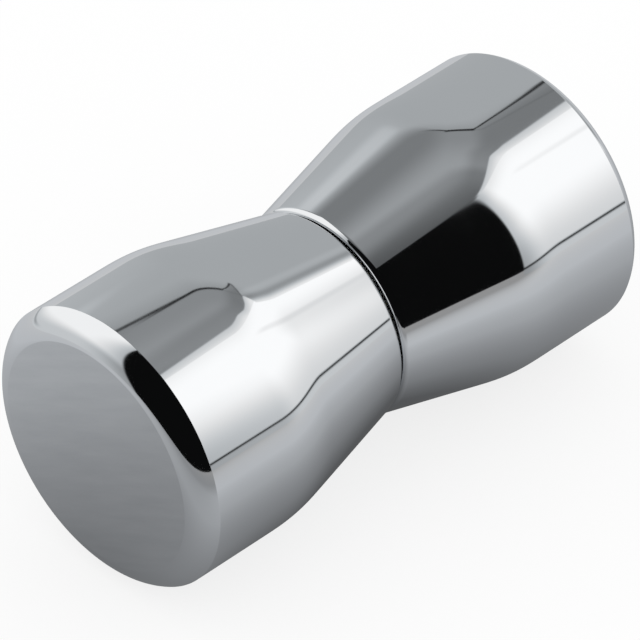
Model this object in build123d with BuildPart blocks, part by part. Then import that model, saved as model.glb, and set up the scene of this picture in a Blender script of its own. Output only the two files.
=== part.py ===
from build123d import *
import os
from math import cos, radians, sin, tan

# Shower door knob pair, millimetres.
# Two turned knobs stand base to base on one axis, Y, with the glass door between them.
# The origin is the middle of the seam between the two bases. The front knob is on the -Y side.

# Outside of each knob
knob_diameter = 30.0
knob_length = 30.2
base_diameter = 22.5
cone_length = 15.5
shoulder_radius = 21.0
crown_radius = 4.0
crown_angle = 62.0
rim_round = 0.15
base_edge_round = 0.7

# Gap between the two bases, and the clear washers that fill it
seam_width = 0.3
washer_thickness = 1.0
washer_seat_lip = 0.9
washer_clearance = 0.2

# Threaded stud, drawn at the full diameter of its thread
stud_diameter = 8.0
stud_end_chamfer = 0.8
thread_clearance = 0.05
metal_behind_thread = 9.35
spare_thread_depth = 1.0
drill_point_angle = 118.0
hole_mouth_chamfer = 0.5
key_across_flats = 4.0
key_depth = 4.5

# Sleeve that keeps the stud off the edge of the hole in the glass
glass_hole_diameter = 12.0
glass_hole_clearance = 0.2
sleeve_length = 6.0
sleeve_bore_clearance = 0.2
sleeve_edge_chamfer = 0.3
recess_side_clearance = 0.3
recess_end_clearance = 0.1

# Sizes that follow from those above
knob_radius = knob_diameter / 2
base_radius = base_diameter / 2
half_seam = seam_width / 2
crown_width = crown_radius * sin(radians(crown_angle))
crown_depth = crown_radius * (1 - cos(radians(crown_angle)))
hole_radius = stud_diameter / 2 + thread_clearance
hole_depth = knob_length - metal_behind_thread
drill_point_depth = hole_radius / tan(radians(drill_point_angle / 2))
stud_length = 2 * (half_seam + hole_depth - spare_thread_depth)
sleeve_radius = glass_hole_diameter / 2 - glass_hole_clearance
sleeve_bore_radius = stud_diameter / 2 + sleeve_bore_clearance
recess_radius = sleeve_radius + recess_side_clearance
recess_depth = sleeve_length / 2 + recess_end_clearance - half_seam
seat_radius = base_radius - washer_seat_lip
seat_depth = washer_thickness - half_seam
washer_radius = seat_radius - washer_clearance


def outward(side, distance):
    """Plane across the axis, facing out of the pair on the side of +Y (1) or -Y (-1)."""
    return Plane(origin=(0, side * distance, 0), x_dir=(1, 0, 0), z_dir=(0, side, 0))


def turned_section(side):
    """Plane of a turned section: X is the radius, Y runs from the knob's base to its end face."""
    return Plane(origin=(0, side * half_seam, 0), x_dir=(1, 0, 0), z_dir=(0, 0, side))


os.makedirs("parts", exist_ok=True)

# The two knobs, each one solid turned piece
for side, name in ((-1, "front_knob"), (1, "rear_knob")):
    with BuildPart() as knob:
        # Outside: base, cone, wide shoulder, cylinder, crowned rim and flat end face
        with BuildSketch(turned_section(side)) as outside:
            with BuildLine():
                Polyline(
                    (knob_radius - crown_width, knob_length),
                    (0, knob_length),
                    (0, 0),
                    (base_radius, 0),
                    (knob_radius, cone_length),
                    (knob_radius, knob_length - crown_depth),
                )
                CenterArc(
                    (knob_radius - crown_width, knob_length - crown_radius),
                    crown_radius,
                    90 - crown_angle,
                    crown_angle,
                )
            make_face()
            widest = outside.vertices().group_by(Axis.X)[-1].sort_by(Axis.Y)
            fillet(widest[0], radius=shoulder_radius)
            rim_corner = outside.vertices().group_by(Axis.X)[-1].sort_by(Axis.Y)[-1]
            fillet(rim_corner, radius=rim_round)
            base_corner = outside.vertices().group_by(Axis.Y)[0].sort_by(Axis.X)[-1]
            fillet(base_corner, radius=base_edge_round)
        revolve(axis=Axis.Y)

        # Inside: washer seat, recess for the sleeve, and tapped hole with its drill point
        with BuildSketch(turned_section(side)):
            with BuildLine():
                Polyline(
                    (0, 0),
                    (seat_radius, 0),
                    (seat_radius, seat_depth),
                    (recess_radius, seat_depth),
                    (recess_radius, recess_depth),
                    (hole_radius + hole_mouth_chamfer, recess_depth),
                    (hole_radius, recess_depth + hole_mouth_chamfer),
                    (hole_radius, hole_depth),
                    (0, hole_depth + drill_point_depth),
                    close=True,
                )
            make_face()
        revolve(axis=Axis.Y, mode=Mode.SUBTRACT)
    knob.part.label = name
    export_step(knob.part, f"parts/{name}.step")

# The two clear washers, one on each face of the glass
for side, name in ((-1, "front_washer"), (1, "rear_washer")):
    with BuildPart() as washer:
        with BuildSketch(outward(side, 0)):
            Circle(washer_radius)
            Circle(recess_radius, mode=Mode.SUBTRACT)
        extrude(amount=washer_thickness)
    washer.part.label = name
    export_step(washer.part, f"parts/{name}.step")

# The stud, fixed in the front knob, with a key socket in the end that the rear knob covers
with BuildPart() as threaded_stud:
    with BuildSketch(outward(1, 0)):
        Circle(stud_diameter / 2)
    extrude(amount=stud_length / 2, both=True)
    ends = threaded_stud.edges().filter_by(GeomType.CIRCLE).group_by(Axis.Y)
    chamfer(ends[0] + ends[-1], length=stud_end_chamfer)
    with BuildSketch(outward(1, stud_length / 2)):
        RegularPolygon(radius=key_across_flats / 2, side_count=6, major_radius=False)
    extrude(amount=-key_depth, mode=Mode.SUBTRACT)
threaded_stud.part.label = "threaded_stud"
export_step(threaded_stud.part, "parts/threaded_stud.step")

# The sleeve, loose on the middle of the stud and swallowed by both recesses when closed
with BuildPart() as glass_sleeve:
    with BuildSketch(outward(1, 0)):
        Circle(sleeve_radius)
        Circle(sleeve_bore_radius, mode=Mode.SUBTRACT)
    extrude(amount=sleeve_length / 2, both=True)
    ends = glass_sleeve.edges().filter_by(GeomType.CIRCLE).group_by(Axis.Y)
    outer_ends = [ends[0].sort_by(SortBy.RADIUS)[-1], ends[-1].sort_by(SortBy.RADIUS)[-1]]
    chamfer(outer_ends, length=sleeve_edge_chamfer)
glass_sleeve.part.label = "glass_sleeve"
export_step(glass_sleeve.part, "parts/glass_sleeve.step")
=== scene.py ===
import math

import bmesh
import bpy
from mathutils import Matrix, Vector


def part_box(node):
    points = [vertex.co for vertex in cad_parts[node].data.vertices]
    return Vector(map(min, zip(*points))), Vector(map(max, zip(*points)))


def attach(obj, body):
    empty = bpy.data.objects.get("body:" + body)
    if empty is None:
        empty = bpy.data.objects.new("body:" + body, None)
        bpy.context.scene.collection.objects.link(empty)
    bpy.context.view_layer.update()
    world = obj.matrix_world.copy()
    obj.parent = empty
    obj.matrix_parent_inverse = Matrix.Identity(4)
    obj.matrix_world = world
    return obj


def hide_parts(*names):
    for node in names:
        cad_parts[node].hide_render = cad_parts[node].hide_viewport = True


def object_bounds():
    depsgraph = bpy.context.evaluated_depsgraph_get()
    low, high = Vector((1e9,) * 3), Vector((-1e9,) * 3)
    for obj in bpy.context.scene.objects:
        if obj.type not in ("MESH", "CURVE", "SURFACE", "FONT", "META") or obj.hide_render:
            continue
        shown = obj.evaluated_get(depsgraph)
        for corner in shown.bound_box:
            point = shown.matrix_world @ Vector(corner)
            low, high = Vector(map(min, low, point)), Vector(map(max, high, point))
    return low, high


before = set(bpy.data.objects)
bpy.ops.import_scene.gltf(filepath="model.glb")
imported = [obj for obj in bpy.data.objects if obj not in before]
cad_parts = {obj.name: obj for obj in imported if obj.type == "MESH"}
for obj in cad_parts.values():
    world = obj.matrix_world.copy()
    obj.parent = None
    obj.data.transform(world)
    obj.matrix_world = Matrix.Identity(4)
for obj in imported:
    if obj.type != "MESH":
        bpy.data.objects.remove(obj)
cad_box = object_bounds()

MM = 0.001
MICRON = 0.000001

# Knobs. What the frame gives is read from it, and the rest repeats the solid model's sizes.
knob_low, knob_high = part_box("rear_knob")
KNOB_RADIUS = knob_high.x
HALF_SEAM = knob_low.y
KNOB_LENGTH = knob_high.y - knob_low.y
BASE_RADIUS = 11.25 * MM
BASE_EDGE_ROUND = 0.7 * MM
CONE_LENGTH = 15.5 * MM
CROWN_RADIUS = 4 * MM
CROWN_ANGLE = math.radians(62)
RIM_ROUND = 0.15 * MM

# Where the looks go further than the solid model: the length of the soft bend at the shoulder, how far
# the face reaches into the crown, the middle of the face that stays square to the axis, and the slant
# of the fine marks on it
SHOULDER_LENGTH = 6.8 * MM
FACE_EDGE_ANGLE = math.radians(12)
FACE_MIDDLE_RADIUS = 1 * MM
LAPPING_SLANT = math.radians(-30)

# Washers, and the seats that they lie in. The washers' faces stand back by the parting, so that the two
# don't share a plane.
washer_low, washer_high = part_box("rear_washer")
WASHER_THICKNESS = washer_high.y - washer_low.y
WASHER_RADIUS = washer_high.x
WASHER_EDGE_ROUND = 0.12 * MM
WASHER_CLEARANCE = 0.2 * MM
WASHER_PARTING = 0.01 * MM
SEAT_RADIUS = WASHER_RADIUS + WASHER_CLEARANCE
SEAT_DEPTH = WASHER_THICKNESS - HALF_SEAM

# Sleeve, and the recess that takes half of it
sleeve_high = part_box("glass_sleeve")[1]
SLEEVE_RADIUS = sleeve_high.x
SLEEVE_HALF_LENGTH = sleeve_high.y
SLEEVE_BORE_RADIUS = 4.2 * MM
SLEEVE_EDGE_ROUND = 0.3 * MM
SLEEVE_BORE_ROUND = SLEEVE_EDGE_ROUND / 3
RECESS_SIDE_CLEARANCE = 0.3 * MM
RECESS_END_CLEARANCE = 0.1 * MM
RECESS_RADIUS = SLEEVE_RADIUS + RECESS_SIDE_CLEARANCE
RECESS_DEPTH = SLEEVE_HALF_LENGTH + RECESS_END_CLEARANCE - HALF_SEAM

# Stud with an M8 thread, and the tapped hole. The thread's crest, root and depth go by its pitch.
stud_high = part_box("threaded_stud")[1]
STUD_RADIUS = stud_high.x
STUD_HALF_LENGTH = stud_high.y
STUD_END_CHAMFER = 0.8 * MM
STUD_END_RADIUS = STUD_RADIUS - STUD_END_CHAMFER
STUD_END_OVERRUN = 0.2 * MM
THREAD_PITCH = 1.25 * MM
THREAD_CREST = THREAD_PITCH / 8
THREAD_ROOT = THREAD_PITCH / 4
THREAD_DEPTH = 0.6134 * THREAD_PITCH
THREAD_CLEARANCE = 0.05 * MM
THREAD_SHARP_ANGLE = math.radians(28)
KEY_HALF_FLATS = 2 * MM
KEY_DEPTH = 4.5 * MM
HOLE_RADIUS = STUD_RADIUS + THREAD_CLEARANCE
HOLE_DEPTH = 20.85 * MM
HOLE_MOUTH = 0.5 * MM
DRILL_POINT_ANGLE = math.radians(118)
DRILL_POINT_DEPTH = HOLE_RADIUS / math.tan(DRILL_POINT_ANGLE / 2)

# How finely the turned pieces are divided, round the axis and along the arcs of their sections
TURN_STEPS = 360
THREAD_STEPS = 96
CROWN_STEPS = 36
SHOULDER_STEPS = 48
BASE_EDGE_STEPS = 8
RIM_STEPS = 6
RING_EDGE_STEPS = 5
ON_AXIS = 0.001 * MM

# Camera, from the photograph's outline and mirrored lines
VIEW_AZIMUTH = math.radians(45.416)
VIEW_ELEVATION = math.radians(39.449)
VIEW_DISTANCE = 581.76 * MM
VIEW_TARGET = Vector((0.05, -0.41, -0.38)) * MM
VIEW_LENS = 335.66
VIEW_CLIP = 10 * MM

# The level way from the object towards the camera
AHEAD_X = math.sin(VIEW_AZIMUTH)
AHEAD_Y = -math.cos(VIEW_AZIMUTH)

FLOOR_HEIGHT = cad_box[0].z
FLOOR_REACH = 4.0


# Nodes

def new_material(name):
    """A node material with nothing in it yet. Returns the material and its node tree."""
    material = bpy.data.materials.new(name)
    material.use_nodes = True
    material.node_tree.nodes.clear()
    return material, material.node_tree


def add_node(tree, kind, inputs, operation=None):
    """A new node. inputs gives an input's value, or the output of another node that feeds it."""
    node = tree.nodes.new(kind)
    if operation:
        node.operation = operation
    for name, value in inputs.items():
        if isinstance(value, bpy.types.NodeSocket):
            tree.links.new(value, node.inputs[name])
        else:
            node.inputs[name].default_value = value
    return node


def add_ramp(tree, amount, stops):
    """A colour ramp over the amount. stops are its positions and colours, in order."""
    ramp = add_node(tree, "ShaderNodeValToRGB", {"Fac": amount})
    elements = ramp.color_ramp.elements
    for position, colour in stops[1:-1]:
        elements.new(position).color = (*colour, 1)
    for element, (position, colour) in ((elements[0], stops[0]), (elements[-1], stops[-1])):
        element.position = position
        element.color = (*colour, 1)
    return ramp.outputs["Color"]


# Materials. Noise mostly keeps between these two values, so what it varies is spread between them.
NOISE_LOW, NOISE_HIGH = 0.3, 0.7


def new_surface(name, inputs):
    """A material with a Principled shader. Returns the material, its node tree and the shader."""
    material, tree = new_material(name)
    shader = add_node(tree, "ShaderNodeBsdfPrincipled", inputs)
    add_node(tree, "ShaderNodeOutputMaterial", {"Surface": shader.outputs["BSDF"]})
    return material, tree, shader


def noise(tree, scale, detail=3.0, stretch=(1, 1, 1), slant=0):
    """Noise in the object's own coordinates, stretched along its axes, which slant turns about Y."""
    place = add_node(tree, "ShaderNodeTexCoord", {})
    mapping = add_node(tree, "ShaderNodeMapping", {"Vector": place.outputs["Object"], "Scale": stretch,
                                                   "Rotation": (0, slant, 0)})
    mapping.vector_type = "TEXTURE"
    texture = add_node(tree, "ShaderNodeTexNoise", {"Vector": mapping.outputs["Vector"], "Scale": scale,
                                                    "Detail": detail})
    return texture.outputs["Fac"]


def vary_colour(tree, shader, amount, dark, light):
    """Base colour that drifts between two close tones."""
    colour = add_ramp(tree, amount, [(NOISE_LOW, dark), (NOISE_HIGH, light)])
    tree.links.new(colour, shader.inputs["Base Color"])


def vary_roughness(tree, shader, amount, low, high):
    """Roughness that drifts between two values."""
    spread = add_node(tree, "ShaderNodeMapRange", {"Value": amount, "From Min": NOISE_LOW,
                                                   "From Max": NOISE_HIGH, "To Min": low, "To Max": high})
    tree.links.new(spread.outputs["Result"], shader.inputs["Roughness"])


def add_bump(tree, shader, height, depth):
    """Fine relief, with its depth in metres."""
    bump = add_node(tree, "ShaderNodeBump", {"Height": height, "Strength": 1.0, "Distance": depth})
    tree.links.new(bump.outputs["Normal"], shader.inputs["Normal"])


def polished_chrome():
    """Bright plating on polished brass: even colour, a mirror finish and a very slight waviness."""
    material, tree, shader = new_surface("polished_chrome", {"Metallic": 1.0})
    vary_colour(tree, shader, noise(tree, 60), (0.770, 0.781, 0.792), (0.788, 0.797, 0.806))
    vary_roughness(tree, shader, noise(tree, 220), 0.035, 0.055)
    add_bump(tree, shader, noise(tree, 260, detail=1.0), 0.6 * MICRON)
    return material


def lapped_chrome():
    """The flat end face: the same plating over fine lapping marks, a little less sharp than the sides."""
    material, tree, shader = new_surface("lapped_chrome", {"Metallic": 1.0})
    streaks = noise(tree, 900, detail=6.0, stretch=(7, 1, 1), slant=LAPPING_SLANT)
    haze = noise(tree, 1800, stretch=(4, 1, 1), slant=LAPPING_SLANT)
    marks = noise(tree, 3600, detail=4.0, stretch=(6, 1, 1), slant=LAPPING_SLANT)
    vary_colour(tree, shader, streaks, (0.745, 0.757, 0.768), (0.800, 0.810, 0.819))
    vary_roughness(tree, shader, haze, 0.09, 0.15)
    add_bump(tree, shader, marks, 0.9 * MICRON)
    return material


def bare_brass():
    """The tapped hole and its recess, where the plating is thin and the brass shows."""
    material, tree, shader = new_surface("bare_brass", {"Metallic": 1.0})
    vary_colour(tree, shader, noise(tree, 300), (0.62, 0.47, 0.24), (0.74, 0.60, 0.36))
    vary_roughness(tree, shader, noise(tree, 500), 0.25, 0.4)
    add_bump(tree, shader, noise(tree, 2400, stretch=(12, 1, 12)), 4 * MICRON)
    return material


def stud_steel():
    """Zinc-plated steel with a satin sheen."""
    material, tree, shader = new_surface("stud_steel", {"Metallic": 1.0})
    vary_colour(tree, shader, noise(tree, 250), (0.57, 0.57, 0.56), (0.67, 0.67, 0.66))
    vary_roughness(tree, shader, noise(tree, 700), 0.22, 0.36)
    add_bump(tree, shader, noise(tree, 2500), 2 * MICRON)
    return material


def sleeve_nylon():
    """Off-white moulded nylon, a little translucent."""
    material, tree, shader = new_surface("sleeve_nylon", {"Subsurface Weight": 0.25,
                                                          "Subsurface Radius": (1.0, 0.9, 0.7),
                                                          "Subsurface Scale": 0.6 * MM})
    vary_colour(tree, shader, noise(tree, 350), (0.83, 0.82, 0.77), (0.88, 0.87, 0.82))
    vary_roughness(tree, shader, noise(tree, 900), 0.38, 0.5)
    add_bump(tree, shader, noise(tree, 3000), 3 * MICRON)
    return material


def washer_vinyl():
    """Clear soft vinyl with a faint cool tint."""
    material, tree, shader = new_surface("washer_vinyl", {"Transmission Weight": 0.92, "IOR": 1.53})
    vary_colour(tree, shader, noise(tree, 300), (0.86, 0.89, 0.90), (0.93, 0.95, 0.96))
    vary_roughness(tree, shader, noise(tree, 600), 0.06, 0.14)
    add_bump(tree, shader, noise(tree, 1500), 2 * MICRON)
    return material


# Smooth steps

def ease(value, low, high):
    """0 below low and 1 above high, with a smooth rise between."""
    share = min(max((value - low) / (high - low), 0), 1)
    return share * share * (3 - 2 * share)


def band(value, middle, core, edge):
    """1 up to core away from the middle and 0 beyond edge away from it, with a smooth fall between."""
    return 1 - ease(abs(value - middle), core, edge)


# Turned pieces

def add_object(name, data):
    """An object in the scene, with that mesh or camera."""
    piece = bpy.data.objects.new(name, data)
    bpy.context.scene.collection.objects.link(piece)
    return piece


def arc(centre, radius, start, end, steps):
    """Points of an arc in a turned section, each as along, radius, and its normal along and outward.
    Angles are in radians, from straight outward towards the end face."""
    points = []
    for step in range(steps + 1):
        angle = start + (end - start) * step / steps
        normal = (math.sin(angle), math.cos(angle))
        points.append((centre[0] + radius * normal[0], centre[1] + radius * normal[1], *normal))
    return points


def soft_bend(corner, length, bend, steps):
    """Points of a bend from the cylinder into the cone, as polishing leaves it: the curve sets in and ends
    gradually. corner is where the two straight strokes would meet, and length is measured along the bend."""
    along, out = 0, 0
    points = [(0, 0, 0, 1)]
    for step in range(1, steps + 1):
        halfway = -bend * ease(step - 0.5, 0, steps)
        along -= math.cos(halfway) * length / steps
        out += math.sin(halfway) * length / steps
        angle = -bend * ease(step, 0, steps)
        points.append((along, out, math.sin(angle), math.cos(angle)))
    reach = math.hypot(along, out) / (2 * math.cos(bend / 2))
    return [(corner[0] + reach + point[0], corner[1] + point[1], *point[2:]) for point in points]


def line(start, end):
    """A straight stroke of a turned section. Its normal is on the left of the way from start to end."""
    along, out = end[0] - start[0], end[1] - start[1]
    length = math.hypot(along, out)
    normal = (out / length, -along / length)
    return [(*start, *normal), (*end, *normal)]


def lines(material, *corners):
    """Straight strokes from corner to corner, each with that material's number."""
    return [(material, line(here, there)) for here, there in zip(corners, corners[1:])]


def turn(name, strokes, materials, side=1, closed=False):
    """Turns strokes about the Y axis into one mesh with exact normals.
    Each stroke is a material's number and its points, and starts where the last one ended."""
    sines = [math.sin(2 * math.pi * k / TURN_STEPS) for k in range(TURN_STEPS)]
    cosines = [math.cos(2 * math.pi * k / TURN_STEPS) for k in range(TURN_STEPS)]
    vertices, faces, normals, indices = [], [], [], []

    def ring(along, radius):
        """Adds a ring of vertices, or one vertex on the axis, and returns the number for each step."""
        first = len(vertices)
        if radius < ON_AXIS:
            vertices.append((0, side * along, 0))
            return [first] * TURN_STEPS
        vertices.extend((radius * s, side * along, radius * c) for s, c in zip(sines, cosines))
        return list(range(first, first + TURN_STEPS))

    first_points = strokes[0][1]
    first_ring = last_ring = ring(*first_points[0][:2])
    for number, (material, points) in enumerate(strokes):
        for step in range(1, len(points)):
            here, there = points[step - 1], points[step]
            at_end = number == len(strokes) - 1 and step == len(points) - 1
            next_ring = first_ring if closed and at_end else ring(*there[:2])
            for k in range(TURN_STEPS):
                after = (k + 1) % TURN_STEPS
                corners = [(last_ring[k], here, k), (next_ring[k], there, k),
                           (next_ring[after], there, after), (last_ring[after], here, after)]
                if last_ring[k] == last_ring[after]:
                    corners.pop()
                if next_ring[k] == next_ring[after]:
                    corners.pop(2)
                if side < 0:
                    corners.reverse()
                faces.append([corner for corner, _, _ in corners])
                normals.extend((p[3] * sines[j], side * p[2], p[3] * cosines[j]) for _, p, j in corners)
                indices.append(material)
            last_ring = next_ring

    mesh = bpy.data.meshes.new(name)
    mesh.from_pydata(vertices, [], faces)
    for material in materials:
        mesh.materials.append(material)
    mesh.polygons.foreach_set("material_index", indices)
    mesh.polygons.foreach_set("use_smooth", [True] * len(faces))
    mesh.normals_split_custom_set(normals)
    return add_object(name, mesh)


# The numbers of a knob's materials, as its strokes use them
SIDE, FACE, INSIDE = 0, 1, 2


def knob_strokes():
    """A knob's section: from the middle of the end face, which falls very slightly to its edge, round the
    outside to the base, and in to the end of the hole."""
    taper = math.atan2(KNOB_RADIUS - BASE_RADIUS, CONE_LENGTH)
    start = HALF_SEAM
    end = start + KNOB_LENGTH

    # The small round lies inside the crown and touches it and the cylinder
    crown_centre = (end - CROWN_RADIUS, KNOB_RADIUS - CROWN_RADIUS * math.sin(CROWN_ANGLE))
    rim_out = KNOB_RADIUS - RIM_ROUND - crown_centre[1]
    rim_along = math.sqrt((CROWN_RADIUS - RIM_ROUND) ** 2 - rim_out ** 2)
    rim_centre = (crown_centre[0] + rim_along, KNOB_RADIUS - RIM_ROUND)
    rim_angle = math.atan2(rim_along, rim_out)

    base_drop = BASE_EDGE_ROUND * (1 - math.sin(taper)) / math.cos(taper)
    base_centre = (start + BASE_EDGE_ROUND, BASE_RADIUS - base_drop)

    crown = arc(crown_centre, CROWN_RADIUS, math.pi / 2 - FACE_EDGE_ANGLE, rim_angle, CROWN_STEPS)
    rim = arc(rim_centre, RIM_ROUND, rim_angle, 0, RIM_STEPS)
    shoulder = soft_bend((start + CONE_LENGTH, KNOB_RADIUS), SHOULDER_LENGTH, taper, SHOULDER_STEPS)
    base_edge = arc(base_centre, BASE_EDGE_ROUND, -taper, -math.pi / 2, BASE_EDGE_STEPS)

    seat = start + SEAT_DEPTH
    recess = start + RECESS_DEPTH
    hole_end = start + HOLE_DEPTH
    return [
        *lines(FACE, (end, 0), (end, FACE_MIDDLE_RADIUS), crown[0][:2]),
        (SIDE, crown),
        (SIDE, rim),
        *lines(SIDE, rim[-1][:2], shoulder[0][:2]),
        (SIDE, shoulder),
        *lines(SIDE, shoulder[-1][:2], base_edge[0][:2]),
        (SIDE, base_edge),
        *lines(SIDE, base_edge[-1][:2], (start, SEAT_RADIUS), (seat, SEAT_RADIUS), (seat, RECESS_RADIUS)),
        *lines(INSIDE, (seat, RECESS_RADIUS), (recess, RECESS_RADIUS), (recess, HOLE_RADIUS + HOLE_MOUTH),
               (recess + HOLE_MOUTH, HOLE_RADIUS), (hole_end, HOLE_RADIUS),
               (hole_end + DRILL_POINT_DEPTH, 0)),
    ]


def rounded_ring(low, high, inner, outer, outer_round, inner_round):
    """Section of a ring from low to high along the axis, with its four edges rounded."""
    quarter = math.pi / 2
    edges = (
        (high - outer_round, outer - outer_round, outer_round, quarter),
        (low + outer_round, outer - outer_round, outer_round, 0),
        (low + inner_round, inner + inner_round, inner_round, -quarter),
        (high - inner_round, inner + inner_round, inner_round, 2 * quarter),
    )
    corners = [arc((along, out), radius, angle, angle - quarter, RING_EDGE_STEPS)
               for along, out, radius, angle in edges]
    strokes = []
    for here, there in zip(corners, corners[1:] + corners[:1]):
        strokes.append((0, here))
        strokes.append((0, line(here[-1][:2], there[0][:2])))
    return strokes


def threaded_rod(name, material):
    """The stud: a right-hand thread as one helical sheet, cut square at both ends, with the key socket
    in its far end."""
    flank = (THREAD_PITCH - THREAD_CREST - THREAD_ROOT) / 2
    core = STUD_RADIUS - THREAD_DEPTH
    section = [(0, STUD_RADIUS), (THREAD_CREST, STUD_RADIUS), (THREAD_CREST + flank, core),
               (THREAD_CREST + flank + THREAD_ROOT, core)]

    # The thread starts and ends past the stud's ends, and is cut there below
    turns = math.ceil(2 * STUD_HALF_LENGTH / THREAD_PITCH) + 2
    start = -STUD_HALF_LENGTH - 1.5 * THREAD_PITCH

    rod = bmesh.new()
    rows = []
    for lap in range(turns + 1):
        for along, radius in section:
            row = []
            for k in range(THREAD_STEPS):
                y = start + lap * THREAD_PITCH + along + THREAD_PITCH * k / THREAD_STEPS
                inset = max(STUD_HALF_LENGTH - abs(y), -STUD_END_OVERRUN)
                out = min(radius, STUD_END_RADIUS + inset)
                angle = 2 * math.pi * k / THREAD_STEPS
                row.append(rod.verts.new((out * math.sin(angle), y, out * math.cos(angle))))
            rows.append(row)

    # Each row ends one step before the place where the same row of the next lap starts
    lap_rows = len(section)
    for i in range(len(rows) - lap_rows - 1):
        for k in range(THREAD_STEPS):
            if k + 1 < THREAD_STEPS:
                low, high = rows[i][k + 1], rows[i + 1][k + 1]
            else:
                low, high = rows[i + lap_rows][0], rows[i + lap_rows + 1][0]
            rod.faces.new((rows[i][k], low, high, rows[i + 1][k]))

    for way in (-1, 1):
        everything = rod.verts[:] + rod.edges[:] + rod.faces[:]
        end = (0, way * STUD_HALF_LENGTH, 0)
        outward = (0, way, 0)
        cut = bmesh.ops.bisect_plane(rod, geom=everything, plane_co=end, plane_no=outward, clear_outer=True)
        border = [cut_part for cut_part in cut["geom_cut"] if isinstance(cut_part, bmesh.types.BMEdge)]
        if way > 0:
            border += key_socket(rod)
        bmesh.ops.triangle_fill(rod, use_beauty=True, edges=border, normal=outward)
    bmesh.ops.recalc_face_normals(rod, faces=rod.faces)

    mesh = bpy.data.meshes.new(name)
    rod.to_mesh(mesh)
    rod.free()
    mesh.materials.append(material)
    mesh.polygons.foreach_set("use_smooth", [True] * len(mesh.polygons))
    mesh.set_sharp_from_angle(angle=THREAD_SHARP_ANGLE)
    return add_object(name, mesh)


def key_socket(rod):
    """Adds the socket's walls and floor to the stud's far end, and returns the edges of its mouth."""
    sixth = math.pi / 3
    corner_radius = KEY_HALF_FLATS / math.cos(sixth / 2)
    rings = []
    for y in (STUD_HALF_LENGTH, STUD_HALF_LENGTH - KEY_DEPTH):
        corners = [(corner_radius * math.sin(k * sixth), y, corner_radius * math.cos(k * sixth))
                   for k in range(6)]
        rings.append([rod.verts.new(corner) for corner in corners])
    mouth, floor = rings
    for k in range(6):
        rod.faces.new((mouth[k], mouth[k - 1], floor[k - 1], floor[k]))
    rod.faces.new(floor)
    return [rod.edges.get((mouth[k], mouth[k - 1])) for k in range(6)]


chrome, face_chrome, brass = polished_chrome(), lapped_chrome(), bare_brass()
steel, nylon, vinyl = stud_steel(), sleeve_nylon(), washer_vinyl()

for side, end_name, body in ((-1, "front", "front"), (1, "rear", "rear")):
    knob = turn(f"{end_name}_knob_turned", knob_strokes(), (chrome, face_chrome, brass), side)
    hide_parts(f"{end_name}_knob")
    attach(knob, body)

for side, end_name, body in ((-1, "front", "front"), (1, "rear", "carriage")):
    section = rounded_ring(WASHER_PARTING, WASHER_THICKNESS - WASHER_PARTING, RECESS_RADIUS, WASHER_RADIUS,
                           WASHER_EDGE_ROUND, WASHER_EDGE_ROUND)
    washer = turn(f"{end_name}_washer_clear", section, (vinyl,), side, closed=True)
    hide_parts(f"{end_name}_washer")
    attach(washer, body)

section = rounded_ring(-SLEEVE_HALF_LENGTH, SLEEVE_HALF_LENGTH, SLEEVE_BORE_RADIUS, SLEEVE_RADIUS,
                       SLEEVE_EDGE_ROUND, SLEEVE_BORE_ROUND)
sleeve = turn("glass_sleeve_moulded", section, (nylon,), closed=True)
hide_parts("glass_sleeve")
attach(sleeve, "front")

stud = threaded_rod("threaded_stud_cut", steel)
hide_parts("threaded_stud")
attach(stud, "front")


# Studio: a small light tent that only the metal sees, square to the camera, open and dark in front

# The tent's planes and edges, in millimetres from the object
RIGHT_WALL, RIGHT_WALL_FRONT, RIGHT_WALL_BACK, RIGHT_WALL_TOP = 200, 109, -250, 450
LEFT_WALL, LEFT_WALL_FRONT, LEFT_WALL_TOP = -130, 79, 330
BACK_WALL, BACK_WALL_RIGHT = -147, 158
CEILING, CEILING_FRONT, CEILING_LEFT, CEILING_RIGHT = 202, 70, -90, 150
JOINT_END = (60, 64)
GROUND = FLOOR_HEIGHT / MM
HORIZON = 2

# The dark room starts along the front knob's side of the floor and reaches round to the right wall.
# Its corners are given as ahead and right.
DARK_START, DARK_CORNER, DARK_END = (62, -149), (530, 305), (300, 540)
DARK_TOP, DARK_LEFT, DARK_REACH = 460, -500, 1500

# How bright the tent's parts are, before what each varies by
RIGHT_WALL_TONE = 0.82
BACK_WALL_TONE = 0.47
CEILING_TONE = 0.385
FAR_FLOOR = 0.70
DARK_TONE = 0.004
LEAST_LIGHT = 0.002

# Light is white above one brightness, and slightly cool below another, with less red and more blue
WHITE_FROM, COOL_BELOW = 1.0, 0.55
LESS_RED, MORE_BLUE = 0.04, 0.03

# The floor's painted shade: it darkens by a share towards the dark room, between two distances ahead
FLOOR_FADE, FLOOR_FADE_START, FLOOR_FADE_END = 0.5, 30, 110

# How finely the cards are divided, in millimetres
FINE, COARSE = 2.0, 100


def spot(ahead, right, height):
    """A place in the tent, in millimetres: ahead is towards the camera, right is the camera's right."""
    return Vector((ahead * AHEAD_X - right * AHEAD_Y, right * AHEAD_X + ahead * AHEAD_Y, height)) * MM


def tinted(level):
    """The colour of light of that brightness: white, or a slightly cool grey."""
    cool = 1 - ease(level, COOL_BELOW, WHITE_FROM)
    return (level * (1 - LESS_RED * cool), level, level * (1 + MORE_BLUE * cool), 1)


def card_material():
    """Plain light, as the card's own shade says."""
    material, tree = new_material("card_light")
    light = add_node(tree, "ShaderNodeAttribute", {})
    light.attribute_name = "light"
    emission = add_node(tree, "ShaderNodeEmission", {"Color": light.outputs["Color"]})
    add_node(tree, "ShaderNodeOutputMaterial", {"Surface": emission.outputs["Emission"]})
    material.cycles.emission_sampling = "NONE"
    return material


card_light = card_material()


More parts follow.
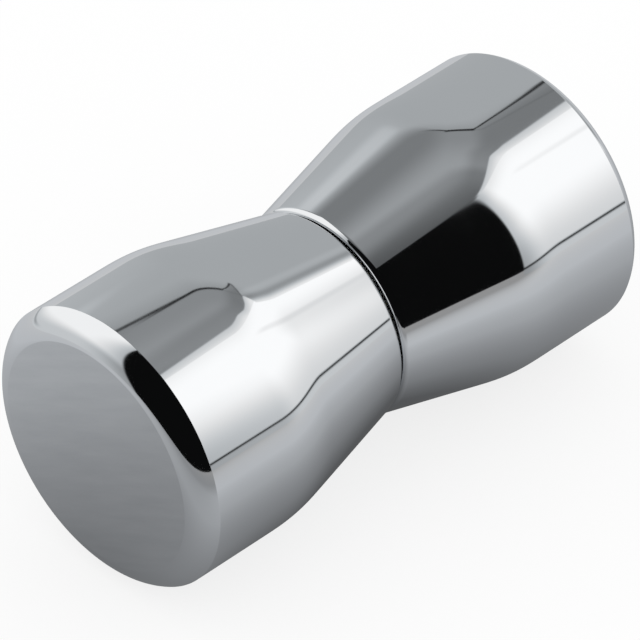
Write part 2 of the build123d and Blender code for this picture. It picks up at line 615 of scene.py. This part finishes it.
def card(name, corners, shade, fineness=FINE):
    """A flat lit card. corners go round it from one lower end, each as ahead, right and height, and
    shade gives its light at such a place. fineness is the step of its grid of points."""
    lower_left, lower_right, upper_right, upper_left = [Vector(corner) for corner in corners]
    across = max(1, round((lower_right - lower_left).length / fineness))
    up = max(1, round((upper_left - lower_left).length / fineness))
    vertices, lights = [], []
    for j in range(up + 1):
        for i in range(across + 1):
            lower = lower_left.lerp(lower_right, i / across)
            upper = upper_left.lerp(upper_right, i / across)
            place = lower.lerp(upper, j / up)
            vertices.append(spot(*place))
            lights.extend(tinted(max(shade(*place), LEAST_LIGHT)))
    row = across + 1
    faces = [(k, k + 1, k + 1 + row, k + row) for j in range(up) for k in range(j * row, j * row + across)]
    mesh = bpy.data.meshes.new(name)
    mesh.from_pydata(vertices, [], faces)
    mesh.attributes.new("light", "FLOAT_COLOR", "POINT").data.foreach_set("color", lights)
    mesh.materials.append(card_light)
    panel = add_object(name, mesh)
    panel.visible_camera = False
    panel.visible_diffuse = False
    panel.visible_transmission = False
    panel.visible_shadow = False


def upright(name, start, end, top, shade, fineness=FINE):
    """An upright card from the floor, between two places given as ahead and right."""
    card(name, [(*start, GROUND), (*end, GROUND), (*end, top), (*start, top)], shade, fineness)


# Each shade takes a place in the tent and gives its brightness there. Lengths are in millimetres, and
# the numbers were fitted to the tones in the photograph.

def right_wall_shade(ahead, right, height):
    """White, dimmer by the floor and near the top, with the floor's far end below a thin dark line."""
    rise = 0.40 * ease(height, 5, 120)
    dim_top = 0.24 * ease(height, 230, 380)
    level = RIGHT_WALL_TONE + rise - dim_top

    # A faint soft band of painted shade slants across it, and it is grey low down at the back
    from_slanting_shade = 0.82 * (ahead + 50) - 0.57 * (height - 215)
    slanting_shade = 0.16 * band(from_slanting_shade, 0, 2, 16) * band(height, 170, 25, 65)
    dim_back = 0.45 * ease(-ahead, 48, 112) * (1 - ease(height, 80, 180))
    level -= slanting_shade + dim_back

    # It gets dimmer towards its front edge, which is softer the higher it is
    dim_front = 0.45 * ease(ahead, 40, RIGHT_WALL_FRONT)
    softness = 4 + 12 * ease(height, 100, 400)
    edge = 0.02 + 0.98 * ease(RIGHT_WALL_FRONT - ahead, 0, softness)
    level *= (1 - dim_front) * edge

    # The floor's far end, with its painted shade towards the dark room
    floor_level = FAR_FLOOR * (1 - FLOOR_FADE * ease(ahead, FLOOR_FADE_START, FLOOR_FADE_END))
    horizon_line = 0.94 * band(height, HORIZON, 1.5, 4.0)
    return (level if height > HORIZON else floor_level) * (1 - horizon_line)


def left_wall_shade(ahead, right, height):
    """White, with a grey foot that is higher at the front, and greyer towards its front edge. A faint line
    just above the floor sets in behind the middle."""
    foot = 0.18 * (ahead + 110)
    level = FAR_FLOOR + 0.40 * ease(height, foot - 14, foot + 22)
    dim_front = 0.48 * ease(ahead, 20, LEFT_WALL_FRONT)
    edge = ease(LEFT_WALL_FRONT - ahead, 0, 6)
    foot_line = 0.45 * band(height, -9, 0.5, 4) * ease(-20 - ahead, 0, 40)
    return level * (1 - dim_front) * edge * (1 - foot_line)


def back_wall_shade(ahead, right, height):
    """Mid grey, lighter on the left, and fading into white at its right end. The ceiling comes down over
    its left part, with a dark joint that grows faint there."""
    joint = CEILING - 2 - 0.7 * max(8 - right, 0)
    light_left = 0.22 * ease(-right, 35, 120)
    dim_top = 0.08 * ease(height, joint - 50, joint)
    light_patch = 0.12 * band(right, -65, 5, 15) * ease(height, 40, 80) * (1 - ease(height, 100, 130))
    light_strip = 0.05 * band(right, 100, 0, 16)
    # Painted shade: a darker strip short of the white right end
    painted_shade_strip = 0.24 * band(right, 124, 0, 16)
    white_end = 0.55 * ease(right, BACK_WALL_RIGHT - 28, BACK_WALL_RIGHT)
    level = BACK_WALL_TONE + light_left - dim_top + light_patch + light_strip + white_end
    level *= 1 - painted_shade_strip

    # Above the joint it goes on as the ceiling, with a softer change on the left
    left = ease(-right, 0, 50)
    above = ease(height, joint - 1 - 45 * left, joint + 1 + 22 * left)

    # Further right a narrow fold of the ceiling hangs down, between a dark line and a fainter one
    fold = 63 - 0.01 * (height - 183) ** 2
    fold_end = 84 + 1.1 * (height - 180)
    hangs = ease(height, 155, 162)
    folded = ease(right, fold - 1, fold + 1) * (1 - ease(right, fold_end, fold_end + 3)) * hangs
    level += (ceiling_shade(BACK_WALL + 12, right, height) - level) * max(above, folded)

    joint_line = 0.95 * ease(right, -45, 5) * (1 - ease(right, *JOINT_END)) * band(height, joint, 2, 5)
    fold_line = 0.92 * hangs * band(right, fold, 1.3, 3.3)
    fold_end_line = 0.5 * hangs * ease(right, fold, fold + 4) * band(right, fold_end, 1, 4)
    return level * (1 - joint_line) * (1 - fold_line - fold_end_line)


def ceiling_edge(ahead):
    """How far right the grey ceiling reaches: further behind the middle, and a little less at the back."""
    return 105 + 15 * ease(-ahead, 58, 96) - 7 * ease(-ahead, 110, 145)


def ceiling_shade(ahead, right, height):
    """Darker grey, deeper at its back, its front and both its sides, and nearly white past its right edge.
    A dark joint runs along the back wall."""
    edge = ceiling_edge(ahead)
    dim_back = 0.25 * ease(-ahead, 20, 120)
    dim_front = 0.5 * ease(ahead, -10, 70)
    dim_right = 0.25 * ease(right, edge - 62, edge - 25)
    middle = 1.06 - 0.27 * ease(ahead, -36, -8)
    left = 0.78 + 0.22 * ease(right, -35, 20)
    level = CEILING_TONE * (1 - dim_back) * (1 - dim_front) * (1 - dim_right) * middle * left

    joint = ease(right, 2, 8) * (1 - 0.85 * ease(right, *JOINT_END))
    level *= 1 - 0.9 * joint * (1 - ease(ahead - BACK_WALL, 2, 6))

    beyond = (0.72 + 0.28 * ease(right, edge, edge + 30)) * (1 - 0.9 * ease(ahead, 38, 50))
    return level + (beyond - level) * ease(right, edge - 1, edge + 3)


def dark(ahead, right, height):
    """The unlit room in front of the tent."""
    return DARK_TONE


upright("right_wall", (RIGHT_WALL_BACK, RIGHT_WALL), (RIGHT_WALL_FRONT, RIGHT_WALL), RIGHT_WALL_TOP,
        right_wall_shade)
upright("left_wall", (BACK_WALL, LEFT_WALL), (LEFT_WALL_FRONT, LEFT_WALL), LEFT_WALL_TOP, left_wall_shade)
upright("back_wall", (BACK_WALL, LEFT_WALL), (BACK_WALL, BACK_WALL_RIGHT), CEILING, back_wall_shade)
card("ceiling", [(BACK_WALL, CEILING_LEFT, CEILING), (BACK_WALL, CEILING_RIGHT, CEILING),
                 (CEILING_FRONT, ceiling_edge(0), CEILING), (CEILING_FRONT, CEILING_LEFT, CEILING)],
     ceiling_shade)

upright("dark_front", DARK_START, DARK_CORNER, DARK_TOP, dark, COARSE)
upright("dark_side", DARK_CORNER, DARK_END, DARK_TOP, dark, COARSE)
card("dark_top", [(CEILING_FRONT, DARK_LEFT, DARK_TOP), (CEILING_FRONT, DARK_REACH, DARK_TOP),
                  (DARK_REACH, DARK_REACH, DARK_TOP), (DARK_REACH, DARK_LEFT, DARK_TOP)], dark, COARSE)


# Floor. The camera sees mostly its own white light, and the rest of it takes the object's soft shadow.
FLOOR_OWN_LIGHT = 0.8

# What the metal sees of it: a painted shadow, as its brightness at some distances from the object's middle,
# in millimetres. It starts from FLOOR_FOOT there and reaches FAR_FLOOR at FLOOR_SPREAD.
PAINTED_FLOOR_SHADOW = ((10, 0.11), (14, 0.17), (18, 0.24), (22, 0.29), (26, 0.34), (34, 0.44), (60, 0.60))
FLOOR_FOOT = 0.08
FLOOR_SPREAD = 200
FLOOR_RED, FLOOR_BLUE = 0.97, 1.04


def floor_material():
    """A pale floor. The camera sees it white, with the object's soft shadow. The metal sees it glow as in
    the
    photograph: grey, with a painted shadow, darker the nearer it is to the object's foot."""
    material, tree = new_material("floor")
    path = add_node(tree, "ShaderNodeLightPath", {})
    place = add_node(tree, "ShaderNodeNewGeometry", {})

    shown = add_node(tree, "ShaderNodeMath", {0: path.outputs["Is Camera Ray"],
                                              1: path.outputs["Is Transmission Ray"]}, "MAXIMUM")
    share = add_node(tree, "ShaderNodeMath", {0: shown.outputs["Value"], 1: FLOOR_OWN_LIGHT}, "MULTIPLY")
    diffuse = add_node(tree, "ShaderNodeBsdfDiffuse", {"Color": (1, 1, 1, 1)})
    white = add_node(tree, "ShaderNodeEmission", {"Color": (1, 1, 1, 1)})
    seen = add_node(tree, "ShaderNodeMixShader", {"Fac": share.outputs["Value"], 1: diffuse.outputs["BSDF"],
                                                  2: white.outputs["Emission"]})

    # Distance from the object's middle, with half as much for each step along it
    squeezed = add_node(tree, "ShaderNodeVectorMath", {0: place.outputs["Position"], 1: (1, 0.5, 0)},
                        "MULTIPLY")
    distance = add_node(tree, "ShaderNodeVectorMath", {0: squeezed.outputs["Vector"]}, "LENGTH")
    spread = add_node(tree, "ShaderNodeMapRange", {"Value": distance.outputs["Value"],
                                                   "From Max": FLOOR_SPREAD * MM})
    # The painted shadow's levels, darkest at the object's middle and fading out to the far floor
    shades = [(reach / FLOOR_SPREAD, (FLOOR_RED * level, level, FLOOR_BLUE * level))
              for reach, level in PAINTED_FLOOR_SHADOW]
    grey = add_ramp(tree, spread.outputs["Result"], [(0, [FLOOR_FOOT] * 3), *shades, (1, [FAR_FLOOR] * 3)])

    # Painted shade: it is darker towards the dark room
    ahead = add_node(tree, "ShaderNodeVectorMath", {0: place.outputs["Position"], 1: (AHEAD_X, AHEAD_Y, 0)},
                     "DOT_PRODUCT")
    fade = add_node(tree, "ShaderNodeMapRange", {"Value": ahead.outputs["Value"],
                                                 "From Min": FLOOR_FADE_START * MM,
                                                 "From Max": FLOOR_FADE_END * MM,
                                                 "To Min": 1.0, "To Max": 1 - FLOOR_FADE})
    fade.interpolation_type = "SMOOTHSTEP"
    mirrored = add_node(tree, "ShaderNodeEmission", {"Color": grey, "Strength": fade.outputs["Result"]})

    either = add_node(tree, "ShaderNodeMixShader", {"Fac": path.outputs["Is Glossy Ray"],
                                                    1: seen.outputs["Shader"],
                                                    2: mirrored.outputs["Emission"]})
    add_node(tree, "ShaderNodeOutputMaterial", {"Surface": either.outputs["Shader"]})
    material.cycles.emission_sampling = "NONE"
    return material


floor_mesh = bpy.data.meshes.new("floor")
floor_corners = [(x * FLOOR_REACH, y * FLOOR_REACH, FLOOR_HEIGHT)
                 for x, y in ((-1, -1), (1, -1), (1, 1), (-1, 1))]
floor_mesh.from_pydata(floor_corners, [], [(0, 1, 2, 3)])
floor_mesh.materials.append(floor_material())
add_object("floor", floor_mesh)

# Background and camera
world = bpy.data.worlds.new("studio")
world.use_nodes = True
background = world.node_tree.nodes["Background"]
background.inputs["Color"].default_value = (1, 1, 1, 1)
background.inputs["Strength"].default_value = 1.0
bpy.context.scene.world = world
bpy.context.scene.view_settings.view_transform = "Standard"

camera_data = bpy.data.cameras.new("camera")
camera_data.lens = VIEW_LENS
camera_data.clip_start = VIEW_CLIP
camera = add_object("camera", camera_data)
level_share = math.cos(VIEW_ELEVATION)
back = Vector((AHEAD_X * level_share, AHEAD_Y * level_share, math.sin(VIEW_ELEVATION)))
camera.location = VIEW_TARGET + back * VIEW_DISTANCE
camera.rotation_mode = "QUATERNION"
camera.rotation_quaternion = (-back).to_track_quat("-Z", "Y")
bpy.context.scene.camera = camera
